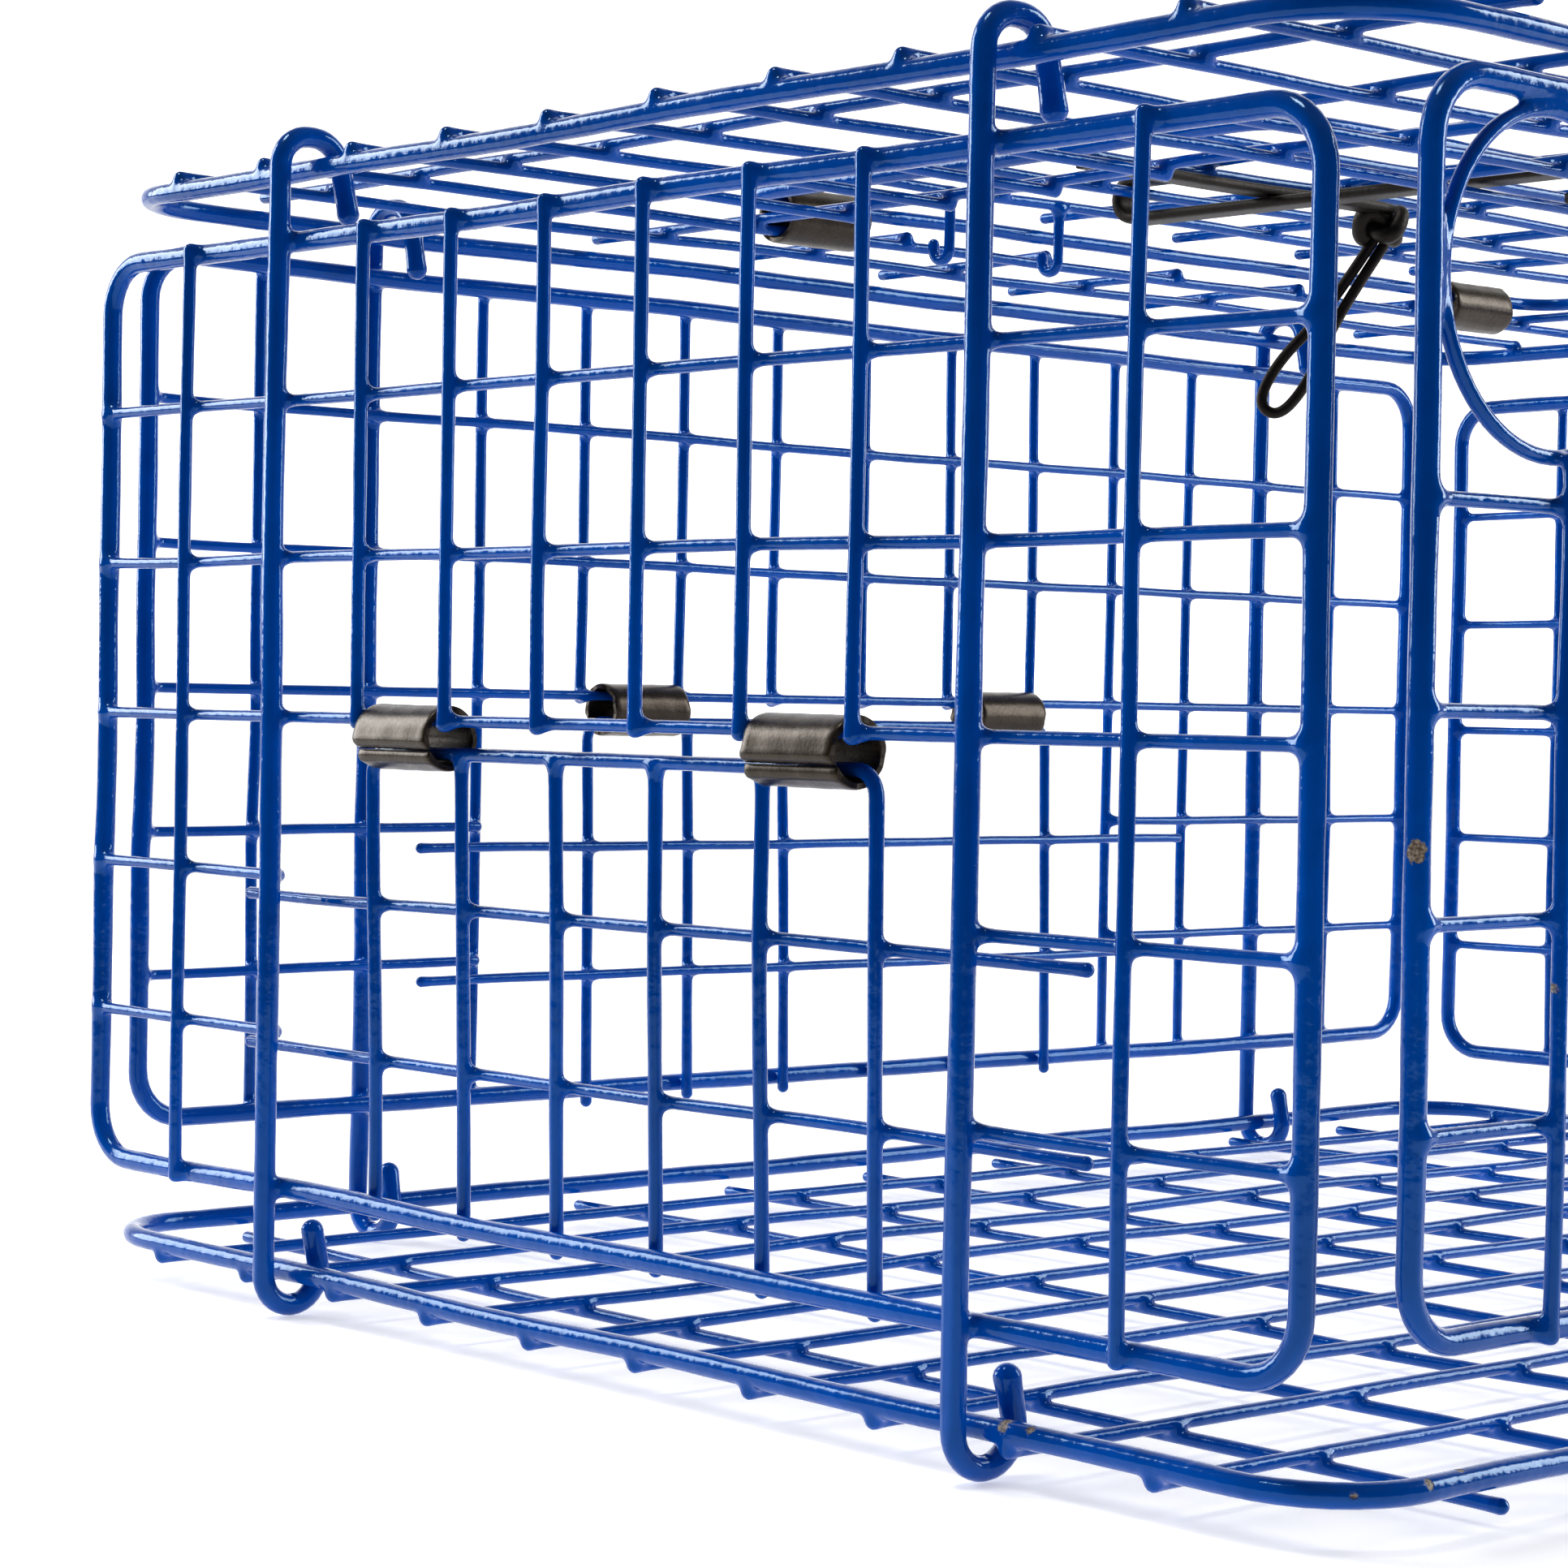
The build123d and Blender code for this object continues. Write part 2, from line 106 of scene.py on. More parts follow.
rng = np.random.default_rng(41)


def unit(v):
    return v / np.linalg.norm(v, axis=-1, keepdims=True)


# The whole trap is a little bent, so all that touches moves together.
WAVE_LENGTHS = np.array([62, 78, 95, 120, 150, 190, 240, 310, 85, 135])
WAVE_K = unit(rng.normal(size=(len(WAVE_LENGTHS), 3))) * (2 * math.pi / WAVE_LENGTHS)[:, None]
WAVE_A = unit(rng.normal(size=(len(WAVE_LENGTHS), 3))) * (WAVE_LENGTHS / 560)[:, None]
WAVE_P = rng.uniform(0, 2 * math.pi, len(WAVE_LENGTHS))


# The gates' hinge wires stay true, so that they turn inside their tubes: a spot and a way each.
HINGE_LINES = []
for side in (-1, 1):
    over_rail = RAIL_Z + 3 * ROW - GATE_DROP
    HINGE_LINES += [
        ((0, side * (BASE_HALF_Y + GATE_OFFSET), over_rail + LONG_BOTTOM), (1, 0, 0)),
        ((side * (BASE_HALF_X + GATE_OFFSET), 0, over_rail + SIDE_BOTTOM), (0, 1, 0)),
    ]
HINGE_TRUE, HINGE_FADE = 3.0, 32.0     # unbent this near a hinge, fully bent past both together


def warp(points):
    moved = np.sin(points @ WAVE_K.T + WAVE_P) @ WAVE_A
    for spot, way in HINGE_LINES:
        away = np.linalg.norm(np.cross(points - spot, way), axis=-1, keepdims=True)
        moved = moved * np.clip((away - HINGE_TRUE) / HINGE_FADE, 0, 1)
    return points + moved


# --- centrelines -----------------------------------------------------------
def route(points, bend, closed):
    """A wire's centreline through corner points: runs and bends, as one line of points."""
    corners = [np.array(p, float) for p in points]
    count = len(corners)
    line = []

    def run_to(end):
        start = line[-1]
        steps = max(1, round(np.linalg.norm(end - start) / SAMPLE))
        for n in range(1, steps + 1):
            line.append(start + (end - start) * n / steps)

    turns = range(count) if closed else range(1, count - 1)
    line.append((corners[-1] + corners[0]) / 2 if closed else corners[0])
    for n in turns:
        corner, after = corners[n], corners[(n + 1) % count]
        way_in, way_out = unit(corner - corners[n - 1]), unit(after - corner)
        angle = math.acos(max(-1.0, min(1.0, way_in @ way_out)))
        start = corner - way_in * bend * math.tan(angle / 2)
        if np.linalg.norm(start - line[-1]) > 0.05:
            run_to(start)
        normal = unit(np.cross(way_in, way_out))
        inward = np.cross(normal, way_in)
        steps = max(3, round(angle / 0.2))
        for k in range(1, steps + 1):
            t = angle * k / steps
            line.append(start + inward * bend * (1 - math.cos(t)) + way_in * bend * math.sin(t))
    end = line[0] if closed else corners[-1]
    if np.linalg.norm(end - line[-1]) > 0.05:
        run_to(end)
    line = np.array(line)
    return line[:-1] if closed else line


def make_wire(points, radius, bend=0.0, closed=False):
    """One dipped wire: its bent centreline and the coat's radius along it."""
    line = route(points, bend, closed)
    ends = np.linalg.norm(np.diff(line, axis=0), axis=1)
    along = np.concatenate([[0], np.cumsum(ends)])
    total = along[-1] + (np.linalg.norm(line[0] - line[-1]) if closed else 0)
    swell = np.zeros(len(line))
    for length in (90.0, 41.0, 23.0):
        waves = max(1, round(total / length))
        swell += np.sin(2 * math.pi * waves * along / total + rng.uniform(0, 6.28))
    radii = radius * (1 + 0.013 * swell)
    if not closed:
        tip = np.minimum(along, total - along)
        radii *= 1 + 0.09 * np.exp(-((tip / (2.2 * radius)) ** 2))
    return {"line": warp(line), "radii": radii, "closed": closed}


def make_ring(points, radius):
    """An escape ring: a closed wire whose centreline is given point by point."""
    along = np.arange(len(points)) / len(points) * 2 * math.pi
    swell = 0.02 * np.sin(5 * along + 1) + 0.012 * np.sin(13 * along + 2 * math.pi * RING_MIDDLE)
    return {"line": warp(points), "radii": radius * (1 + swell), "closed": True}


# --- tubes -----------------------------------------------------------------
def frames_along(line, closed):
    """Directions, and two sideways vectors that don't twist, along a line."""
    if closed:
        ways = unit(np.roll(line, -1, 0) - np.roll(line, 1, 0))
    else:
        ways = unit(np.gradient(line, axis=0))
    first = np.cross(ways[0], [0.31, 0.52, 0.79])
    across = [unit(first)]
    for n in range(1, len(line)):
        a = across[-1] - ways[n] * (across[-1] @ ways[n])
        across.append(unit(a))
    across = np.array(across)
    if closed:
        last = unit(across[-1] - ways[0] * (across[-1] @ ways[0]))
        other = np.cross(ways[0], across[0])
        twist = math.atan2(last @ other, last @ across[0])
        turn = -twist * np.arange(len(line)) / len(line)
        sideways = np.cross(ways, across)
        across = across * np.cos(turn)[:, None] + sideways * np.sin(turn)[:, None]
    return ways, across, np.cross(ways, across)


def round_ends(line, radii):
    """Adds the rings that round off both ends of an open wire."""
    for _ in range(2):
        way = unit(line[1] - line[0])
        tip_r = radii[0]
        far = np.linalg.norm(line - line[0], axis=1) > tip_r * 1.02
        far[0] = False
        keep = np.argmax(far)
        angles = np.radians([16, 36, 56, 74, 90])
        cap = line[0] + way * (tip_r * (1 - np.cos(angles)))[:, None]
        line = np.concatenate([cap, line[keep:]])
        radii = np.concatenate([tip_r * np.sin(angles), radii[keep:]])
        line, radii = line[::-1], radii[::-1]
    return line, radii


def tube(line, radii, closed, sides=SIDES):
    """Vertices, quads and triangles of a tube round a line."""
    if not closed:
        tips = line[0], line[-1]
        line, radii = round_ends(line, radii)
    ways, across, up = frames_along(line, closed)
    turn = np.arange(sides) * 2 * math.pi / sides
    cos, sin = np.cos(turn), np.sin(turn)
    ring = across[:, None] * cos[None, :, None] + up[:, None] * sin[None, :, None]
    verts = (line[:, None] + ring * radii[:, None, None]).reshape(-1, 3)
    count = len(line)
    rows = np.arange(count if closed else count - 1)[:, None] * sides
    after = (rows + sides) % (count * sides)
    n = np.arange(sides)[None]
    m = (n + 1) % sides
    quads = np.stack([rows + n, rows + m, after + m, after + n], -1).reshape(-1, 4)
    tris = np.zeros((0, 3), int)
    if not closed:
        base = len(verts)
        verts = np.concatenate([verts, np.array(tips)])
        n, m = n[0], m[0]
        last = (count - 1) * sides
        tris = np.concatenate([
            np.stack([m, n, np.full(sides, base)], -1),
            np.stack([last + n, last + m, np.full(sides, base + 1)], -1),
        ])
    return verts, quads, tris


# --- webs of coat at the welds ---------------------------------------------
def segments_of(wire):
    line, radii = wire["line"], wire["radii"]
    if wire["closed"]:
        return line, np.roll(line, -1, 0), radii, np.roll(radii, -1)
    line = line.copy()
    line[0] += unit(line[1] - line[0]) * radii[0]
    line[-1] += unit(line[-2] - line[-1]) * radii[-1]
    return line[:-1], line[1:], radii[:-1], radii[1:]


def nearest_points(one, other):
    """The spots where two wires come close: a list of their middle points."""
    p1, q1, ra, rb = segments_of(one)
    p2, q2, rc, rd = segments_of(other)
    p1, q1, p2, q2 = p1[:, None], q1[:, None], p2[None], q2[None]
    d1, d2, r = q1 - p1, q2 - p2, p1 - p2
    a, e = (d1 * d1).sum(-1), (d2 * d2).sum(-1)
    b, c, f = (d1 * d2).sum(-1), (d1 * r).sum(-1), (d2 * r).sum(-1)
    det = a * e - b * b
    s = np.where(det > 1e-9, np.clip((b * f - c * e) / np.maximum(det, 1e-9), 0, 1), 0.5)
    t = np.clip((b * s + f) / e, 0, 1)
    s = np.clip((b * t - c) / a, 0, 1)
    x = p1 + d1 * s[..., None]
    y = p2 + d2 * t[..., None]
    reach = (ra[:, None] * (1 - s) + rb[:, None] * s) + (rc[None] * (1 - t) + rd[None] * t)
    gap = np.linalg.norm(x - y, axis=-1) - reach
    spots = []
    for n in np.argsort(gap, axis=None)[:400]:
        i, j = np.unravel_index(n, gap.shape)
        if gap[i, j] > WELD_GAP:
            break
        middle = (x[i, j] + y[i, j]) / 2
        if all(np.linalg.norm(middle - m) > 7.0 for m in spots):
            spots.append(middle)
    return spots


def near_segments(wire, spot, reach):
    p, q, ra, rb = segments_of(wire)
    d = q - p
    t = np.clip(((spot - p) * d).sum(1) / (d * d).sum(1), 0, 1)
    close = np.linalg.norm(p + d * t[:, None] - spot, axis=1) < reach
    return p[close], d[close], ra[close], rb[close]


def depth(points, parts):
    """How far points lie outside a wire's near segments."""
    p, d, ra, rb = parts
    v = points[:, None] - p[None]
    t = np.clip((v * d).sum(-1) / (d * d).sum(-1), 0, 1)
    away = np.linalg.norm(v - d * t[..., None], axis=-1)
    return (away - ra * (1 - t) - rb * t).min(1)


def joined(points, one, other):
    """The surface of two wires with the coat's web between them."""
    a, b = depth(points, one), depth(points, other)
    h = np.maximum(WEB - np.abs(a - b), 0) / WEB
    return np.minimum(a, b) - h * h * WEB / 4 + WEB_SINK


CORNERS = np.array([(i, j, k) for i in (0, 1) for j in (0, 1) for k in (0, 1)])
EDGES = [
    (a, b) for a in range(8) for b in range(a + 1, 8)
    if np.abs(CORNERS[a] - CORNERS[b]).sum() == 1
]


def web(one, other, spot):
    """The web's mesh at one weld, where it stands clear of both wires."""
    size = max(one["radii"].max(), other["radii"].max()) + 3.3
    near = near_segments(one, spot, size * 1.9), near_segments(other, spot, size * 1.9)
    if not len(near[0][0]) or not len(near[1][0]):
        return None
    count = int(2 * size / WEB_GRID) + 1
    axis = np.linspace(-size, size, count)
    step = axis[1] - axis[0]
    grid = np.stack(np.meshgrid(axis, axis, axis, indexing="ij"), -1)
    field = joined(grid.reshape(-1, 3) + spot, *near).reshape(count, count, count)
    m = count - 1
    corner = [field[i:i + m, j:j + m, k:k + m] for i, j, k in CORNERS]
    total = np.zeros((m, m, m, 3))
    hits = np.zeros((m, m, m))
    for a, b in EDGES:
        crossing = (corner[a] < 0) != (corner[b] < 0)
        share = np.where(crossing, corner[a] / np.where(crossing, corner[a] - corner[b], 1), 0)
        place = CORNERS[a] + (CORNERS[b] - CORNERS[a]) * share[..., None]
        total += np.where(crossing[..., None], place, 0)
        hits += crossing
    live = hits > 0
    index = -np.ones((m, m, m), int)
    index[live] = np.arange(live.sum())
    cells = np.argwhere(live)
    verts = (cells + total[live] / hits[live][:, None]) * step - size + spot
    quads = []
    inside = field < 0
    for axis_n in range(3):
        u, v = (axis_n + 1) % 3, (axis_n + 2) % 3
        low = [slice(1, m)] * 3
        high = [slice(1, m)] * 3
        low[axis_n], high[axis_n] = slice(0, m), slice(1, m + 1)
        first, second = inside[tuple(low)], inside[tuple(high)]
        at = np.argwhere(first != second)
        if not len(at):
            continue
        flip = first[tuple(at.T)]
        at = at + [0 if n == axis_n else 1 for n in range(3)]
        ring = []
        for du, dv in ((-1, -1), (0, -1), (0, 0), (-1, 0)):
            cell = at.copy()
            cell[:, u] += du
            cell[:, v] += dv
            ring.append(index[tuple(cell.T)])
        ring = np.stack(ring, 1)
        ring[~flip] = ring[~flip][:, ::-1]
        quads.append(ring)
    if not quads:
        return None
    quads = np.concatenate(quads)
    for _ in range(2):
        value = joined(verts, *near)
        slope = np.stack([joined(verts + d, *near) - value for d in np.eye(3) * 0.02], 1) / 0.02
        square = np.maximum((slope * slope).sum(1), 0.25)
        verts = verts - slope * (np.clip(value, -0.3, 0.3) / square)[:, None]
    proud = np.minimum(depth(verts, near[0]), depth(verts, near[1]))
    keep = proud[quads].max(1) > 0.004
    inner = np.abs(verts - spot).max(1) < size - step
    keep &= inner[quads].all(1)
    quads = quads[keep]
    if not len(quads):
        return None
    used, quads = np.unique(quads, return_inverse=True)
    return verts[used], quads.reshape(-1, 4)


# --- meshes ----------------------------------------------------------------
class Pile:
    """Vertices and faces gathered for one piece."""

    def __init__(self):
        self.verts, self.quads, self.tris, self.smooth, self.count = [], [], [], [], 0

    def add(self, verts, quads, tris=None, flat=0):
        """Adds faces. The last quads, as many as flat says, are cut faces with sharp edges."""
        self.verts.append(verts)
        self.quads.append(quads + self.count)
        self.smooth.append(np.arange(len(quads)) < len(quads) - flat)
        if tris is not None and len(tris):
            self.tris.append(tris + self.count)
        self.count += len(verts)


def make_piece(name, pile, material, body, node=None):
    verts = np.clip(np.concatenate(pile.verts), BOX_LOW, BOX_HIGH) * MM
    quads = np.concatenate(pile.quads)
    tris = np.concatenate(pile.tris) if pile.tris else np.zeros((0, 3), int)
    mesh = bpy.data.meshes.new(name)
    mesh.vertices.add(len(verts))
    mesh.vertices.foreach_set("co", verts.astype(np.float32).ravel())
    mesh.loops.add(quads.size + tris.size)
    loops = np.concatenate([quads.ravel(), tris.ravel()])
    mesh.loops.foreach_set("vertex_index", loops.astype(np.int32))
    mesh.polygons.add(len(quads) + len(tris))
    starts = np.concatenate([np.arange(len(quads)) * 4, quads.size + np.arange(len(tris)) * 3])
    mesh.polygons.foreach_set("loop_start", starts.astype(np.int32))
    smooth = np.concatenate(pile.smooth + [np.ones(len(tris), bool)])
    mesh.polygons.foreach_set("use_smooth", smooth)
    mesh.update(calc_edges=True)
    mesh.validate()
    mesh.materials.append(material)
    piece = bpy.data.objects.new(name, mesh)
    bpy.context.scene.collection.objects.link(piece)
    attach(piece, body)
    if node:
        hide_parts(node)
    return piece


# --- panels: drawn along X, outward -Y, Z from the base rail ----------------
def panel_frame(half, bottom):
    top, y = bottom + ROW * ROWS, -FRAME_OFFSET
    points = [(-half, y, bottom), (half, y, bottom), (half, y, top), (-half, y, top)]
    return [(points, FRAME_R, PANEL_CORNER, True)]


def hook_rod(x):
    low, high, out = -HOOK_BEND, RAIL_TO_RAIL + HOOK_BEND, -ROD_OFFSET
    base_corner = HOOK_BEND + HOOK_LEAN / 2
    points = [
        (x, HOOK_BEND + HOOK_LEAN, RAIL_TO_RAIL - HOOK_TIP), (x, HOOK_BEND, high), (x, out, high),
        (x, out, low), (x, base_corner, low), (x, base_corner - HOOK_LEAN, HOOK_TIP),
    ]
    return (points, ROD_R, HOOK_BEND, False)


def upright(x, low, high):
    y = -UPRIGHT_OFFSET
    return ([(x, y, low - 2.5), (x, y, high + 2.5)], UPRIGHT_R, 0, False)


def crossbar(left, right, z):
    y = -CROSS_OFFSET
    return ([(left, y, z), (right, y, z)], CROSS_R, 0, False)


def gate(centre, pitch, middle):
    half = 2.5 * pitch

    def spot(x, drop, inward=0.0):
        y = -GATE_OFFSET + drop * math.sin(GATE_TILT) + inward * math.cos(GATE_TILT)
        z = middle - GATE_DROP - drop * math.cos(GATE_TILT) + inward * math.sin(GATE_TILT)
        return (centre + x, y, z)

    hoop = [spot(-half, GATE_LENGTH), spot(-half, 0), spot(half, 0), spot(half, GATE_LENGTH)]
    tines, bars = [], []
    for n in (-1.5, -0.5, 0.5, 1.5):
        tines.append(([spot(n * pitch, 1.0), spot(n * pitch, GATE_LENGTH)], UPRIGHT_R, 0, False))
    inward = UPRIGHT_R + CROSS_R - SINK
    reach = half * GATE_BAR_PAST
    for drop in GATE_BAR_DROPS:
        bars.append(([spot(-reach, drop, inward), spot(reach, drop, inward)], CROSS_R, 0, False))
    hoops = [(hoop, UPRIGHT_R, GATE_CORNER, False)]
    return {"gate_hoop": hoops, "gate_tines": tines, "gate_bars": bars}


def side_panel():
    rows = [SIDE_BOTTOM + ROW * n for n in range(ROWS + 1)]
    rod_x = 3.5 * SIDE_PITCH
    half = rod_x + 2 * SIDE_EDGE_PITCH
    edge = half - SIDE_EDGE_PITCH
    uprights = [upright(x, rows[0], rows[6]) for x in (-edge, edge)]
    uprights += [upright((n - 2.5) * SIDE_PITCH, rows[3], rows[6]) for n in range(6)]
    bars = [crossbar(-half, half, rows[n]) for n in (3, 4, 5)]
    for n in (1, 2):
        bars += [crossbar(-half, -rod_x, rows[n]), crossbar(rod_x, half, rows[n])]
    clips = [(side * 2 * SIDE_PITCH, rows[3] - CLIP_DROP) for side in (-1, 1)]
    wires = {
        "frame": panel_frame(half, SIDE_BOTTOM), "hook_rods": [hook_rod(-rod_x), hook_rod(rod_x)],
        "uprights": uprights, "crossbars": bars,
    }
    return wires, gate(0, SIDE_PITCH * GATE_SPREAD, rows[3]), clips


def ring_points(x, z):
    turns = np.arange(RING_STEPS) * 2 * math.pi / RING_STEPS
    y = np.full(RING_STEPS, -FRAME_OFFSET)
    return np.stack([x + RING_MIDDLE * np.cos(turns), y, z + RING_MIDDLE * np.sin(turns)], -1)


def long_panel(with_rings):
    rows = [LONG_BOTTOM + ROW * n for n in range(ROWS + 1)]
    half = LONG_PITCH * LONG_COLUMNS / 2
    rod_x = half - LONG_PITCH * LONG_ROD_COLUMN
    reach = FRAME_R + RING_BORE + 2 * RING_R - SINK
    ring_x, ring_z = -half + reach, rows[6] - reach
    ring_outer = RING_BORE + 2 * RING_R
    gate_left, gate_right = GATE_SHIFT - 3.5 * LONG_PITCH, GATE_SHIFT + 3.5 * LONG_PITCH
    uprights = []
    for n in range(1, LONG_COLUMNS):
        x = -half + n * LONG_PITCH
        if n in (LONG_ROD_COLUMN, LONG_COLUMNS - LONG_ROD_COLUMN):
            continue
        low = rows[3] if gate_left + 1 < x < gate_right - 1 else rows[0]
        short = with_rings and n in (1, LONG_COLUMNS - 1)
        uprights.append(upright(x, low, ring_z - ring_outer if short else rows[6]))
    bars = [crossbar(-half, half, rows[n]) for n in (3, 4)]
    inner = ring_x + ring_outer - SINK if with_rings else -half
    bars.append(crossbar(inner, -inner, rows[5]))
    for n in (1, 2):
        bars += [crossbar(-half, gate_left, rows[n]), crossbar(gate_right, half, rows[n])]
    clips = [(GATE_SHIFT + side * 2 * LONG_PITCH, rows[3] - CLIP_DROP) for side in (-1, 1)]
    wires = {
        "frame": panel_frame(half, LONG_BOTTOM), "hook_rods": [hook_rod(-rod_x), hook_rod(rod_x)],
        "uprights": uprights, "crossbars": bars,
    }
    if with_rings:
        rings = [ring_points(ring_x, ring_z), ring_points(-ring_x, ring_z)]
        wires["escape_rings"] = [(r, RING_R, None, True) for r in rings]
    return wires, gate(GATE_SHIFT, LONG_PITCH * GATE_SPREAD, rows[3]), clips


def turned(points, turn, out):
    """Panel points to their place in the trap."""
    points = np.array(points, float) + (0, -out, RAIL_Z)
    c, s = round(math.cos(turn)), round(math.sin(turn))
    x, y, z = points.T
    return np.stack([x * c - y * s, x * s + y * c, z], -1)


# --- base, top and lid -----------------------------------------------------
def mesh_x(n):
    return n * (BASE_HALF_X - EDGE_CELL_X) / (MESH_CELLS_X / 2 - 1)


def mesh_y(n):
    return MESH_SHIFT_Y + n * 2 * BASE_HALF_Y / MESH_CELLS_Y


LID_Z = TOP_Z + CROSS_RISE + LID_WIRE_RISE
LID_BACK_Y = mesh_y(LID_ROWS[1])
LID_FRONT_Y = mesh_y(LID_ROWS[0]) - LID_OVERLAP
LID_LEFT = mesh_x(LID_COLUMNS[0]) - LID_OVERLAP
LID_RIGHT = mesh_x(LID_COLUMNS[1]) + LID_OVERLAP
LID_CLIP_XS = (mesh_x(LID_COLUMNS[0]) + 21.0, mesh_x(LID_COLUMNS[1] - 0.5))
EDGE_X, EDGE_Y = BASE_HALF_X + END_PAST, BASE_HALF_Y + END_PAST
MESH_XS = [mesh_x(n - 4) for n in range(9)]
MESH_YS = [mesh_y(n - 4.5) for n in range(10)]


def rectangle(left, right, front, back, z):
    return [(right, front, z), (right, back, z), (left, back, z), (left, front, z)]


def line_x(left, right, y, z):
    return ([(left, y, z), (right, y, z)], MESH_R, 0, False)


def line_y(front, back, x, z):
    return ([(x, front, z), (x, back, z)], MESH_R, 0, False)


def base_wires():
    frame_points = rectangle(-BASE_HALF_X, BASE_HALF_X, -BASE_HALF_Y, BASE_HALF_Y, RAIL_Z)
    return {
        "base_frame": [(frame_points, RAIL_R, RAIL_CORNER, True)],
        "base_cross_wires": [line_x(-EDGE_X, EDGE_X, y, RAIL_Z - CROSS_RISE) for y in MESH_YS],
        "base_long_wires": [line_y(-EDGE_Y, EDGE_Y, x, RAIL_Z - LONG_RISE) for x in MESH_XS],
    }


def top_wires():
    frame_points = rectangle(-BASE_HALF_X, BASE_HALF_X, -BASE_HALF_Y, BASE_HALF_Y, TOP_Z)
    left, right = mesh_x(LID_COLUMNS[0]) + END_PAST, mesh_x(LID_COLUMNS[1]) - END_PAST
    front, back = mesh_y(LID_ROWS[0]) + END_PAST, mesh_y(LID_ROWS[1]) - END_PAST
    cross, along = [], []
    for y in MESH_YS:
        z = TOP_Z + CROSS_RISE
        if y < front or y > back:
            cross.append(line_x(-EDGE_X, EDGE_X, y, z))
        else:
            cross += [line_x(-EDGE_X, left, y, z), line_x(right, EDGE_X, y, z)]
    for x in MESH_XS:
        z = TOP_Z + LONG_RISE
        if x < left or x > right:
            along.append(line_y(-EDGE_Y, EDGE_Y, x, z))
        else:
            along += [line_y(-EDGE_Y, front, x, z), line_y(back, EDGE_Y, x, z)]
    return {
        "top_frame": [(frame_points, RAIL_R, RAIL_CORNER, True)],
        "top_cross_wires": cross, "top_long_wires": along,
    }


def lid_wires():
    cross_z = LID_Z + LID_FRAME_R + MESH_R - SINK
    long_z = cross_z + 2 * MESH_R - SINK
    frame_points = rectangle(LID_LEFT, LID_RIGHT, LID_FRONT_Y, LID_BACK_Y, LID_Z)
    left, right = LID_LEFT - END_PAST, LID_RIGHT + END_PAST
    hooks = []
    for x in BAIT_HOOK_XS:
        y, low = mesh_y(BAIT_HOOK_ROW), TOP_Z - 4
        points = [(x, y, cross_z), (x, y, low), (x, y + 6.2, low), (x, y + 6.2, low + 6)]
        hooks.append((points, MESH_R, 3.0, False))
    return {
        "lid_frame": [(frame_points, LID_FRAME_R, PANEL_CORNER, True)],
        "lid_cross_wires": [line_x(left, right, mesh_y(n - 0.5), cross_z) for n in range(4)],
        "lid_long_wires": [
            line_y(LID_FRONT_Y - END_PAST, LID_BACK_Y + END_PAST, mesh_x(n), long_z)
            for n in range(LID_COLUMNS[0] + 1, LID_COLUMNS[1])
        ],
        "lid_bait_hooks": hooks,
    }


# --- materials -------------------------------------------------------------
class Nodes:
    """A short way to write a material's nodes."""

    def __init__(self, name, tree=None):
        if tree:
            self.tree = tree
            self.place = tree.nodes.new("ShaderNodeTexCoord").outputs["Generated"]
            return
        self.material = bpy.data.materials.new(name)
        self.material.use_nodes = True
        self.tree = self.material.node_tree
        self.shader = self.tree.nodes["Principled BSDF"]
        self.place = self.tree.nodes.new("ShaderNodeTexCoord").outputs["Object"]

    def join(self, source, target):
        self.tree.links.new(source, target)

    def set(self, node, key, value):
        if isinstance(value, bpy.types.NodeSocket):
            self.join(value, node.inputs[key])
        elif value is not None:
            node.inputs[key].default_value = value

    def noise(self, scale, detail=3.0, rough=0.5):
        node = self.tree.nodes.new("ShaderNodeTexNoise")
        self.join(self.place, node.inputs["Vector"])
        self.set(node, "Scale", scale)
        self.set(node, "Detail", detail)
        self.set(node, "Roughness", rough)
        return node.outputs["Fac"]

    def math(self, operation, a, b=None, c=None, clamp=False):
        node = self.tree.nodes.new("ShaderNodeMath")
        node.operation, node.use_clamp = operation, clamp
        for n, value in enumerate((a, b, c)):
            self.set(node, n, value)
        return node.outputs[0]

    def spread(self, value, low, high, to_low=0.0, to_high=1.0):
        node = self.tree.nodes.new("ShaderNodeMapRange")
        for key, v in (("Value", value), ("From Min", low), ("From Max", high),
                       ("To Min", to_low), ("To Max", to_high)):
            self.set(node, key, v)
        return node.outputs[0]

    def mix(self, share, one, other):
        node = self.tree.nodes.new("ShaderNodeMix")
        node.data_type = "RGBA"
        for key, value in ((0, share), (6, one), (7, other)):
            if isinstance(value, tuple):
                value = (*value, 1.0)
            self.set(node, key, value)
        return node.outputs[2]

    def bump(self, height, strength, distance):
        node = self.tree.nodes.new("ShaderNodeBump")
        self.set(node, "Height", height)
        self.set(node, "Strength", strength)
        self.set(node, "Distance", distance)
        self.join(node.outputs[0], self.shader.inputs["Normal"])

    def near(self, centre, radius, edge, ragged):
        """1 near a point, falling to 0 at a ragged edge."""
        node = self.tree.nodes.new("ShaderNodeVectorMath")
        node.operation = "DISTANCE"
        self.join(self.place, node.inputs[0])
        node.inputs[1].default_value = [v * MM for v in centre]
        away = self.math("MULTIPLY_ADD", ragged, radius * 1.6 * MM, node.outputs["Value"])
        return self.spread(away, (radius * 1.8 + edge) * MM, (radius * 1.8) * MM)


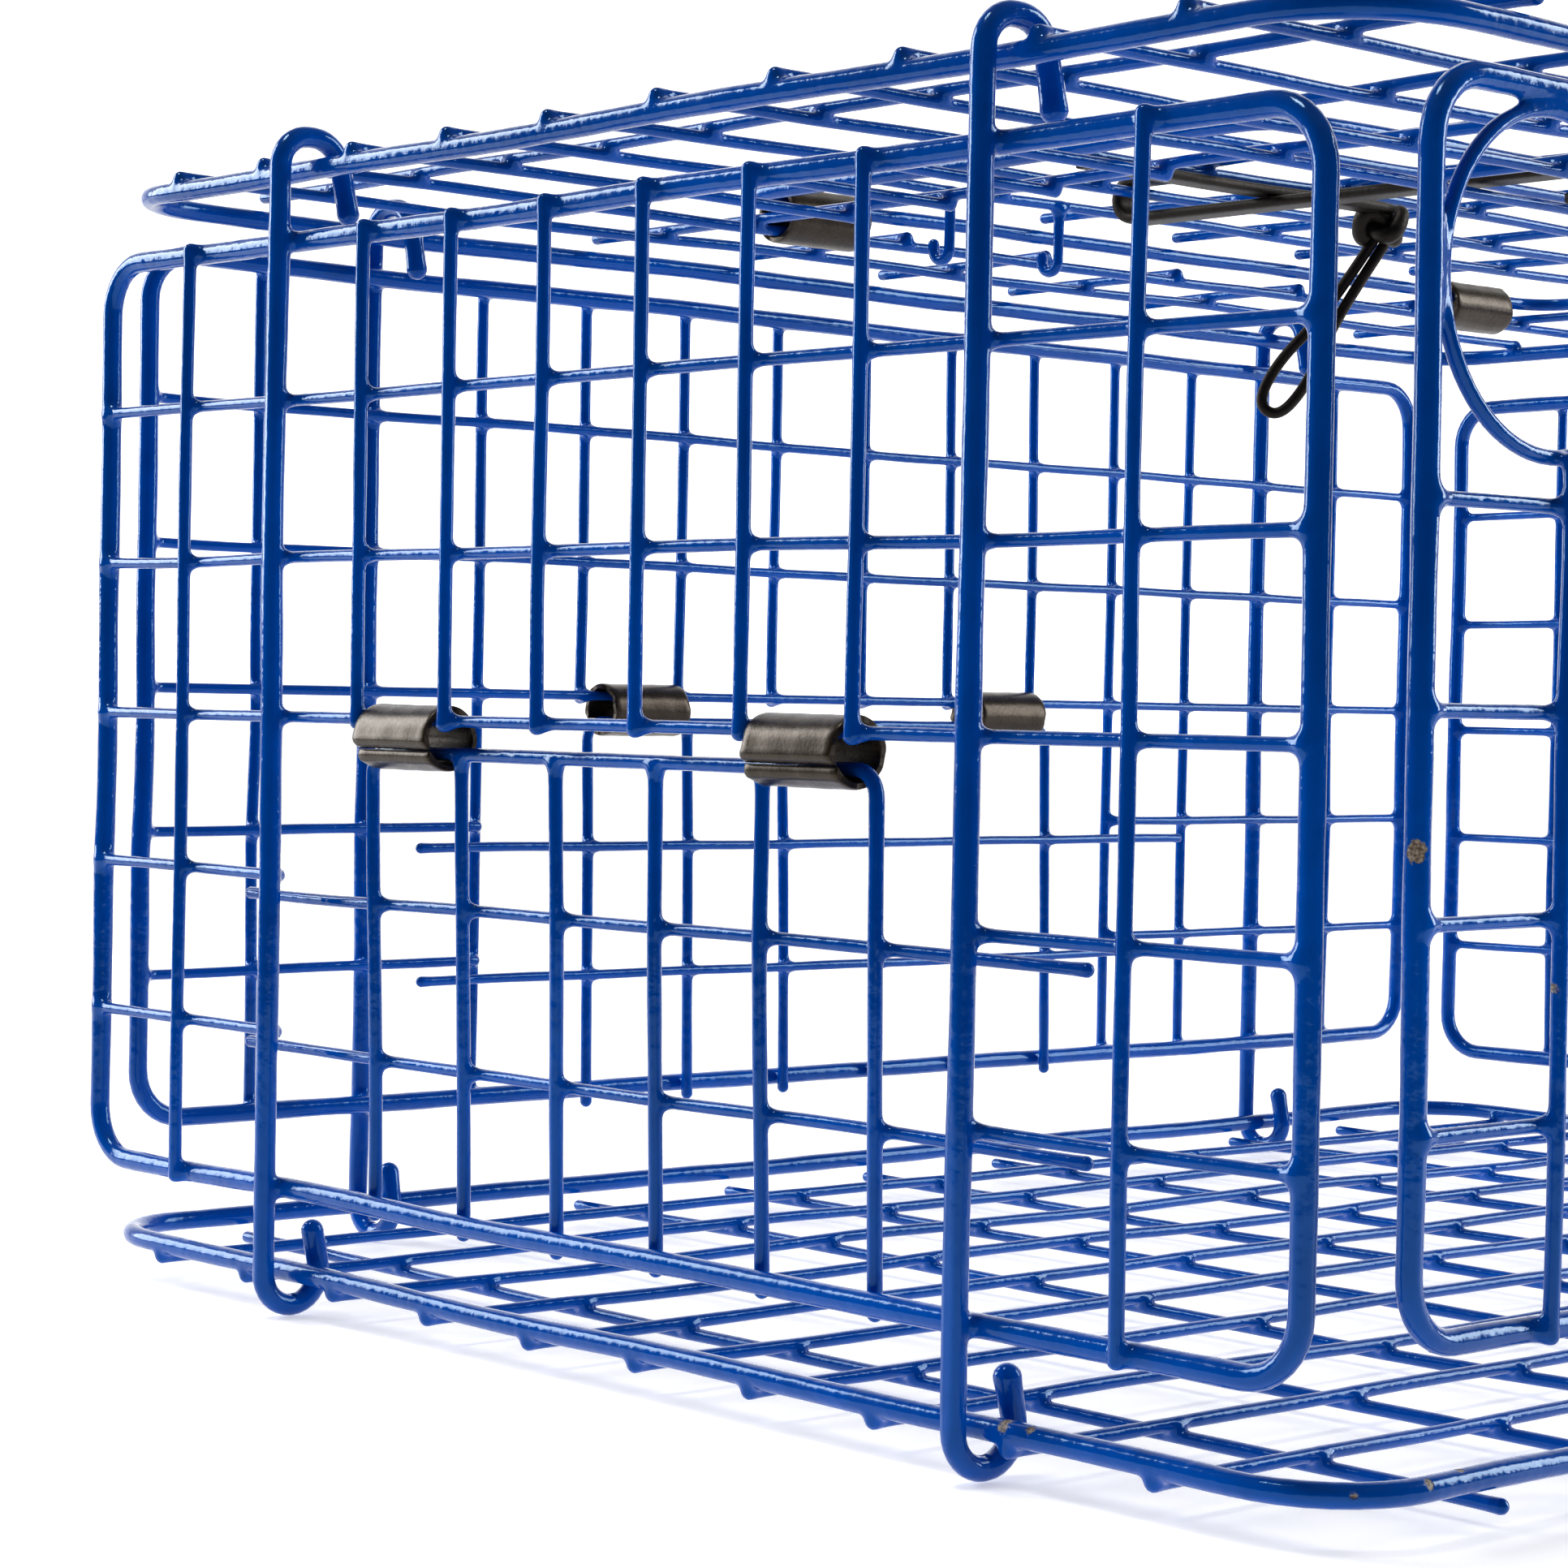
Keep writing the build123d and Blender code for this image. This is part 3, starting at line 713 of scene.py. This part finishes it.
CHIPS = [
    ((-274.5, -126.5, 12.0), 1.6), ((-275.0, -133.5, 12.5), 0.9), ((-274.0, -150.0, 12.0), 0.8),
    ((-266.0, -205.0, 11.5), 1.0), ((-250.0, -209.0, 12.0), 0.8), ((-239.5, -207.5, 12.5), 0.8),
    ((-262.0, -212.5, 126.6), 1.9), ((-222.5, -214.0, 101.0), 1.0), ((-272.0, -187.0, 11.0), 0.7),
]


def coat_material():
    n = Nodes("blue_vinyl_coat")
    ragged = n.noise(900.0, 4.0, 0.65)
    broad = n.noise(14.0, 2.0)
    cloud = n.noise(120.0, 3.0)
    blue = n.mix(n.spread(broad, 0.35, 0.65), (0.0, 0.057, 0.335), (0.0, 0.077, 0.445))
    blue = n.mix(n.spread(cloud, 0.42, 0.75, 0.0, 0.35), blue, (0.0, 0.042, 0.25))
    dust = n.spread(n.noise(2600.0, 2.0, 0.7), 0.70, 0.80, 0.0, 0.22)
    blue = n.mix(dust, blue, (0.05, 0.15, 0.46))
    chip = None
    for centre, radius in CHIPS:
        spot = n.near(centre, radius, 0.35, ragged)
        chip = spot if chip is None else n.math("MAXIMUM", chip, spot)
    bare = n.mix(n.spread(n.noise(1500.0, 3.0), 0.4, 0.62), (0.40, 0.33, 0.25), (0.13, 0.075, 0.040))
    n.join(n.mix(chip, blue, bare), n.shader.inputs["Base Color"])
    sheen = n.spread(cloud, 0.3, 0.7, 0.06, 0.14)
    rough = n.math("MULTIPLY_ADD", chip, 0.35, sheen, clamp=True)
    rough = n.math("MAXIMUM", rough, n.spread(ragged, 0.3, 0.8, 0.05, 0.13))
    n.join(rough, n.shader.inputs["Roughness"])
    n.shader.inputs["Specular IOR Level"].default_value = 0.42
    n.shader.inputs["Specular Tint"].default_value = (0.36, 0.72, 1.0, 1.0)
    n.shader.inputs["IOR"].default_value = 1.5
    peel = n.math("MULTIPLY_ADD", n.noise(330.0, 2.0, 0.4), 1.0, n.math("MULTIPLY", ragged, 0.18))
    height = n.math("MULTIPLY_ADD", chip, -2.2, peel)
    n.bump(height, 0.5, 0.0003)
    return n.material


def clip_material():
    n = Nodes("split_rubber_tube")
    grain = n.noise(1300.0, 4.0, 0.6)
    drawn = n.noise(260.0, 3.0, 0.6)
    tone = n.mix(n.spread(drawn, 0.35, 0.7), (0.0100, 0.0070, 0.0042), (0.024, 0.0168, 0.0105))
    scuff = n.spread(n.noise(420.0, 4.0, 0.7), 0.60, 0.72, 0.0, 0.5)
    n.join(n.mix(scuff, tone, (0.070, 0.054, 0.038)), n.shader.inputs["Base Color"])
    n.join(n.spread(grain, 0.3, 0.7, 0.25, 0.34), n.shader.inputs["Roughness"])
    n.shader.inputs["Specular IOR Level"].default_value = 0.38
    n.shader.inputs["Specular Tint"].default_value = (1.0, 0.80, 0.60, 1.0)
    height = n.math("MULTIPLY_ADD", drawn, 0.9, n.math("MULTIPLY", grain, 0.35))
    n.bump(height, 0.22, 0.0003)
    return n.material


def strap_material():
    n = Nodes("black_strap_rubber")
    grain = n.noise(1800.0, 4.0, 0.6)
    wear = n.noise(180.0, 4.0, 0.6)
    tone = n.mix(n.spread(wear, 0.4, 0.7), (0.0030, 0.0023, 0.0016), (0.0085, 0.0064, 0.0046))
    n.join(tone, n.shader.inputs["Base Color"])
    n.join(n.spread(grain, 0.3, 0.7, 0.36, 0.54), n.shader.inputs["Roughness"])
    n.shader.inputs["Specular IOR Level"].default_value = 0.22
    n.shader.inputs["Specular Tint"].default_value = (1.0, 0.86, 0.72, 1.0)
    height = n.math("MULTIPLY_ADD", wear, 0.8, n.math("MULTIPLY", grain, 0.5))
    n.bump(height, 0.5, 0.0004)
    return n.material


COAT, CLIP, STRAP = coat_material(), clip_material(), strap_material()


# --- split tubes -----------------------------------------------------------
def split_tube(length, slit_angle, seed):
    """A cut length of split rubber tube along X, its slit towards -Y before it is turned."""
    local = np.random.default_rng(seed)
    gap = math.asin(SLIT_SEEN / 2 / CLIP_R)
    count = 56
    angles = math.pi + slit_angle + np.linspace(gap, 2 * math.pi - gap, count)
    lip = np.minimum(np.arange(count), np.arange(count)[::-1])   # steps from the slit
    cut = []                       # how unevenly each end was cut
    for _ in range(2):
        waves = [
            local.normal(0, 0.16) * np.sin(k * angles + local.uniform(0, 6.28)) for k in (1, 2, 3, 5, 9)
        ]
        cut.append(np.clip(sum(waves), -0.1, 0.55))
    near_end = [0.0, 0.3, 0.9, 2.2]
    lengths = near_end + list(np.linspace(4, length - 4, 9)) + [length - v for v in near_end[::-1]]
    outer, inner = [], []
    phase = local.uniform(0, 6.28, 4)
    for at in lengths:
        edge = min(at, length - at)
        ease = 0.30 * max(0.0, 1 - edge / 0.9) ** 2
        share = at / length
        x = at - length / 2 + cut[0] * (1 - share) ** 3 - cut[1] * share ** 3
        ripple = 0.05 * np.sin(3 * angles + phase[0] + at * 0.2) + 0.04 * np.sin(at * 0.7 + phase[1])
        curl = 0.44 * np.exp(-(((lip - 2.6) / 1.3) ** 2)) - 0.8 * np.exp(-((lip / 0.9) ** 2))
        big = CLIP_R - 0.42 - ease + ripple + curl
        small = CLIP_BORE + 0.06 + ease * 0.8 + ripple * 0.5 + 0.3 * np.exp(-lip / 1.2)
        outer.append(np.stack([x, big * np.cos(angles), big * np.sin(angles)], -1))
        inner.append(np.stack([x, small * np.cos(angles), small * np.sin(angles)], -1))
    outer, inner = np.array(outer), np.array(inner)
    sections = len(lengths)
    verts = np.concatenate([outer.reshape(-1, 3), inner.reshape(-1, 3)])
    shift = sections * count
    quads, cuts = [], []
    for s in range(sections - 1):
        for a in range(count - 1):
            o, p = s * count + a, (s + 1) * count + a
            quads.append((o, o + 1, p + 1, p))
            quads.append((o + shift, p + shift, p + 1 + shift, o + 1 + shift))
        for a, flip in ((0, False), (count - 1, True)):
            o, p = s * count + a, (s + 1) * count + a
            quad = (o, p, p + shift, o + shift)
            cuts.append(quad[::-1] if flip else quad)
    for s, flip in ((0, False), (sections - 1, True)):
        for a in range(count - 1):
            o = s * count + a
            quad = (o, o + shift, o + 1 + shift, o + 1)
            cuts.append(quad[::-1] if flip else quad)
    return verts, np.array(quads + cuts), None, len(cuts)


# --- building the wire pieces ----------------------------------------------
def near_boxes(one, other):
    gap = 6.5
    return bool(
        (one["line"].min(0) < other["line"].max(0) + gap).all()
        and (other["line"].min(0) < one["line"].max(0) + gap).all()
    )


def build_body(body, nodes, place=None):
    """All wire pieces of one body, with webs of coat where its wires meet."""
    wires = []
    for node, specs in nodes.items():
        for points, radius, bend, closed in specs:
            if place:
                points = place(points)
            if bend is None:
                wire = make_ring(points, radius)
            else:
                wire = make_wire(points, radius, bend, closed)
            wire["node"] = node
            wires.append(wire)
    piles = {node: Pile() for node in nodes}
    for wire in wires:
        sides = SIDES + 4 if wire["radii"].mean() > 1.9 else SIDES
        piles[wire["node"]].add(*tube(wire["line"], wire["radii"], wire["closed"], sides))
    for n, one in enumerate(wires):
        for other in wires[n + 1:]:
            if not near_boxes(one, other):
                continue
            for spot in nearest_points(one, other):
                made = web(one, other, spot)
                if made:
                    piles[other["node"]].add(*made)
    for node, pile in piles.items():
        make_piece(f"{node}_coated", pile, COAT, body, node)


def make_panel(side, made, turn, out):
    wires, gate_parts, clips = made

    def place(points):
        return turned(points, turn, out)

    build_body(f"{side}_side", {f"{side}_{k}": v for k, v in wires.items()}, place)
    build_body(f"{side}_gate", {f"{side}_{k}": v for k, v in gate_parts.items()}, place)
    pile = Pile()
    for k, (x, z) in enumerate(clips):
        verts, *faces = split_tube(CLIP_SEEN_LENGTH, math.radians(25), 11 + 7 * k + len(side))
        verts = place(verts + (x + (2 * k - 1) * CLIP_SHIFT, -CLIP_OFFSET, z))
        pile.add(verts + (warp(verts.mean(0)[None]) - verts.mean(0)), *faces)
    node = f"{side}_hinge_clips"
    make_piece(f"{node}_rubber", pile, CLIP, f"{side}_side", node)


build_body("base", base_wires())
make_panel("front", long_panel(True), 0, BASE_HALF_Y)
make_panel("left", side_panel(), -math.pi / 2, BASE_HALF_X)
make_panel("back", long_panel(False), math.pi, BASE_HALF_Y)
make_panel("right", side_panel(), math.pi / 2, BASE_HALF_X)
build_body("top", top_wires())
build_body("lid", lid_wires())

lid_clips = Pile()
for k, clip_x in enumerate(LID_CLIP_XS):
    verts, *faces = split_tube(CLIP_LENGTH, math.radians(-90), 51 + k)
    verts = verts + (clip_x, LID_BACK_Y, TOP_Z + CROSS_RISE + 4.2)
    lid_clips.add(verts + (warp(verts.mean(0)[None]) - verts.mean(0)), *faces)
make_piece("lid_hinge_clips_rubber", lid_clips, CLIP, "top", "lid_hinge_clips")


# --- rubber strap, knot and pull loop ---------------------------------------
def ribbon(line, wide_way, width, thick):
    """A rubber band with rounded edges along a line, its width along wide_way."""
    line = np.array(line, float)
    ways = unit(np.gradient(line, axis=0))
    wide = np.array(wide_way, float)
    up = unit(np.cross(ways, wide))
    turns = np.linspace(0, 2 * math.pi, 21)[:-1]
    power = 0.42
    a = np.sign(np.cos(turns)) * np.abs(np.cos(turns)) ** power * width / 2
    b = np.sign(np.sin(turns)) * np.abs(np.sin(turns)) ** power * thick / 2
    count, sides = len(line), len(turns)
    scale = np.ones(count)
    scale[0] = scale[-1] = 0.9
    ring = wide * a[None, :, None] + up[:, None] * b[None, :, None]
    verts = (line[:, None] + ring * scale[:, None, None]).reshape(-1, 3)
    rows = np.arange(count - 1)[:, None] * sides
    n = np.arange(sides)[None]
    m = (n + 1) % sides
    quads = np.stack([rows + n, rows + m, rows + sides + m, rows + sides + n], -1).reshape(-1, 4)
    base = len(verts)
    verts = np.concatenate([verts, line[[0, -1]]])
    n, m, last = n[0], m[0], (count - 1) * sides
    tris = np.concatenate([
        np.stack([m, n, np.full(sides, base)], -1),
        np.stack([last + n, last + m, np.full(sides, base + 1)], -1),
    ])
    return verts, quads, tris


def strap_line():
    low = TOP_Z + STRAP_RISE
    hook_y, hook_turn = mesh_y(LID_ROWS[0] - 1), STRAP_RISE - CROSS_RISE
    back_y, back_turn = mesh_y(1.5) + 2.9, 5.3
    line = [(hook_y + 10 - t, low - 2 * hook_turn) for t in (0, 0.4, 3, 6, 9)]
    for t in np.radians(np.arange(0, 181, 15)):
        line.append((hook_y - hook_turn * math.sin(t), low - hook_turn - hook_turn * math.cos(t)))
    line += [(y, low) for y in np.linspace(hook_y, back_y, 20)[1:-1]]
    for t in np.radians(np.arange(0, 181, 15)):
        line.append((back_y + back_turn * math.sin(t), low + back_turn - back_turn * math.cos(t)))
    line += [(back_y - t, low + 2 * back_turn) for t in (3, 6, 9, 12, 13.6, 14)]
    return [(STRAP_X, y, z) for y, z in line]


pile = Pile()
pile.add(*ribbon(strap_line(), (1, 0, 0), STRAP_WIDTH, STRAP_THICK))
make_piece("lid_strap_rubber", pile, STRAP, "lid", "lid_strap")

tail_z = TOP_Z + STRAP_RISE + STRAP_THICK + 0.3
tail = [(x, TAIL_Y, tail_z) for x in (TAIL_LEFT, TAIL_LEFT + 0.4)]
for x in np.linspace(TAIL_LEFT + 4, KNOT[0] - 1, 30):
    share = (x - TAIL_LEFT) / (KNOT[0] - TAIL_LEFT)
    tail.append((x, TAIL_Y + 0.7 * math.sin(5 * share), tail_z + 0.1 * math.sin(9 * share)))
pile = Pile()
pile.add(*ribbon(tail, (0, 1, 0), STRAP_WIDTH - 1.4, STRAP_THICK - 0.2))
make_piece("lid_strap_tail_rubber", pile, STRAP, "lid", "lid_strap_tail")

turns = np.linspace(0, 2 * math.pi, 97)[:-1]
knot_line = np.stack([
    KNOT[0] + (np.sin(turns) + 2 * np.sin(2 * turns)) * 2.15,
    KNOT[1] + (np.cos(turns) - 2 * np.cos(2 * turns)) * 1.85,
    TOP_Z + 6.4 - np.sin(3 * turns) * 3.1,
], -1)
pile = Pile()
pile.add(*tube(knot_line, np.full(96, 2.5) + 0.15 * np.sin(7 * turns), True, 14))
make_piece("lid_strap_knot_rubber", pile, STRAP, "lid", "lid_strap_knot")


def pull_loop():
    """The rubber loop that hangs from the knot, a cord that goes back into it."""
    start = np.array([KNOT[0], KNOT[1], TOP_Z + 3])
    down = unit(np.array([-22.0, 20.0, -47.0]))
    across = unit(np.cross(down, [0.7, 0.7, 0.0]))
    half = PULL_WIDTH / 2
    spots = [(0, -0.34), (0.26, -0.34), (0.52, -0.5), (0.78, -1.12), (1.0, -0.8),
             (1.0, 0.8), (0.78, 1.12), (0.52, 0.5), (0.26, 0.34), (0, 0.34)]
    curve = bpy.data.curves.new("pull_loop_line", "CURVE")
    curve.dimensions = "3D"
    spline = curve.splines.new("NURBS")
    spline.points.add(len(spots) - 1)
    for point, (far, side) in zip(spline.points, spots):
        point.co = (*(start + down * far * PULL_LENGTH + across * side * half) * MM, 1.0)
    spline.order_u = 3
    spline.use_endpoint_u = True
    spline.resolution_u = 8
    holder = bpy.data.objects.new("pull_loop_holder", curve)
    mesh = bpy.data.meshes.new_from_object(holder)
    line = np.array([v.co for v in mesh.vertices], float) / MM
    bpy.data.objects.remove(holder)
    bpy.data.curves.remove(curve)
    bpy.data.meshes.remove(mesh)
    pile = Pile()
    pile.add(*tube(line, np.full(len(line), LOOP_SEEN_R), False, 14))
    piece = make_piece("lid_pull_loop_rubber", pile, STRAP, "lid", "lid_pull_loop")
    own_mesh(piece)
    return piece


pull_loop()


# --- stage, light and camera, in metres ---------------------------------------
CAMERA_ANGLES = (-41.7248, 1.2943, 1.0618)     # azimuth, elevation and roll in degrees
CAMERA_LENS = 85.008                           # mm
CAMERA_PLACE = (-0.78101, -0.62630, 0.15125)
FLOOR_NEAR, FLOOR_FAR = -0.85, 14.0
BACKDROP_WAY = (0.665, 0.746, 0.0)             # towards the lit white backdrop
TRAP_MIDDLE = (0, 0, 0.15)
BOX_WIDTH, BOX_HEIGHT, BOX_WATTS = 0.7, 1.4, 32


def make_stage():
    mesh = bpy.data.meshes.new("floor")
    near, far = FLOOR_NEAR, FLOOR_FAR
    corners = [(near, near, 0), (far, near, 0), (far, far, 0), (near, far, 0)]
    mesh.from_pydata(corners, [], [(0, 1, 2, 3)])
    floor = bpy.data.objects.new("floor", mesh)
    bpy.context.scene.collection.objects.link(floor)
    n = Nodes("pale_floor")
    cloud = n.noise(1.7, 2.0)
    n.join(n.mix(cloud, (0.885, 0.88, 0.875), (0.91, 0.905, 0.90)), n.shader.inputs["Base Color"])
    n.shader.inputs["Roughness"].default_value = 0.6
    n.shader.inputs["Specular IOR Level"].default_value = 0.25
    n.shader.inputs["Emission Color"].default_value = (1.0, 0.995, 0.985, 1.0)
    n.shader.inputs["Emission Strength"].default_value = 0.42
    mesh.materials.append(n.material)
    make_world()


def make_world():
    """White to the eye. What the gloss reflects is dark on the near side, below the lights."""
    world = bpy.data.worlds.new("studio")
    bpy.context.scene.world = world
    world.use_nodes = True
    tree = world.node_tree
    n = Nodes("world_nodes", tree)
    side = tree.nodes.new("ShaderNodeVectorMath")
    side.operation = "DOT_PRODUCT"
    n.join(n.place, side.inputs[0])
    side.inputs[1].default_value = BACKDROP_WAY
    height = tree.nodes.new("ShaderNodeSeparateXYZ")
    n.join(n.place, height.inputs[0])
    backdrop = n.spread(side.outputs["Value"], 0.40, 0.90, 0.012, 1.7)
    ceiling = n.spread(height.outputs["Z"], 0.5, 0.9, 0.012, 0.16)
    level = n.math("MAXIMUM", backdrop, ceiling)
    seen = tree.nodes.new("ShaderNodeLightPath").outputs["Is Camera Ray"]
    n.join(n.math("MAXIMUM", level, seen), tree.nodes["Background"].inputs["Strength"])
    tree.nodes["Background"].inputs["Color"].default_value = (1.0, 0.996, 0.99, 1)


def soft_box(name, place):
    light = bpy.data.lights.new(name, "AREA")
    light.shape, light.energy = "RECTANGLE", BOX_WATTS
    light.size, light.size_y = BOX_WIDTH, BOX_HEIGHT
    lamp = bpy.data.objects.new(name, light)
    bpy.context.scene.collection.objects.link(lamp)
    lamp.location = place
    lamp.rotation_mode = "QUATERNION"
    lamp.rotation_quaternion = (Vector(TRAP_MIDDLE) - Vector(place)).to_track_quat("-Z", "Y")


def high_light(way, strength, angle):
    """A far soft lamp overhead, which lights the floor evenly to the horizon."""
    light = bpy.data.lights.new("high_light", "SUN")
    light.energy, light.angle = strength, math.radians(angle)
    lamp = bpy.data.objects.new("high_light", light)
    bpy.context.scene.collection.objects.link(lamp)
    lamp.rotation_mode = "QUATERNION"
    lamp.rotation_quaternion = Vector(way).to_track_quat("Z", "Y")


def make_camera():
    azimuth, elevation, roll = (math.radians(a) for a in CAMERA_ANGLES)
    data = bpy.data.cameras.new("camera")
    data.sensor_width, data.lens = 36.0, CAMERA_LENS
    data.clip_start, data.clip_end = 0.02, 60.0
    camera = bpy.data.objects.new("camera", data)
    bpy.context.scene.collection.objects.link(camera)
    level = math.cos(elevation)
    back = Vector((math.sin(azimuth) * level, -math.cos(azimuth) * level, math.sin(elevation)))
    turn = (-back).to_track_quat("-Z", "Y").to_matrix() @ Matrix.Rotation(roll, 3, "Z")
    camera.matrix_world = Matrix.Translation(CAMERA_PLACE) @ turn.to_4x4()
    bpy.context.scene.camera = camera


make_stage()
high_light((-0.30, 0.16, 1.0), 0.9, 14)
soft_box("left_box", (-1.0, 1.75, 0.85))
soft_box("right_box", (1.65, -1.1, 0.85))
make_camera()
bpy.context.scene.view_settings.view_transform = "Standard"
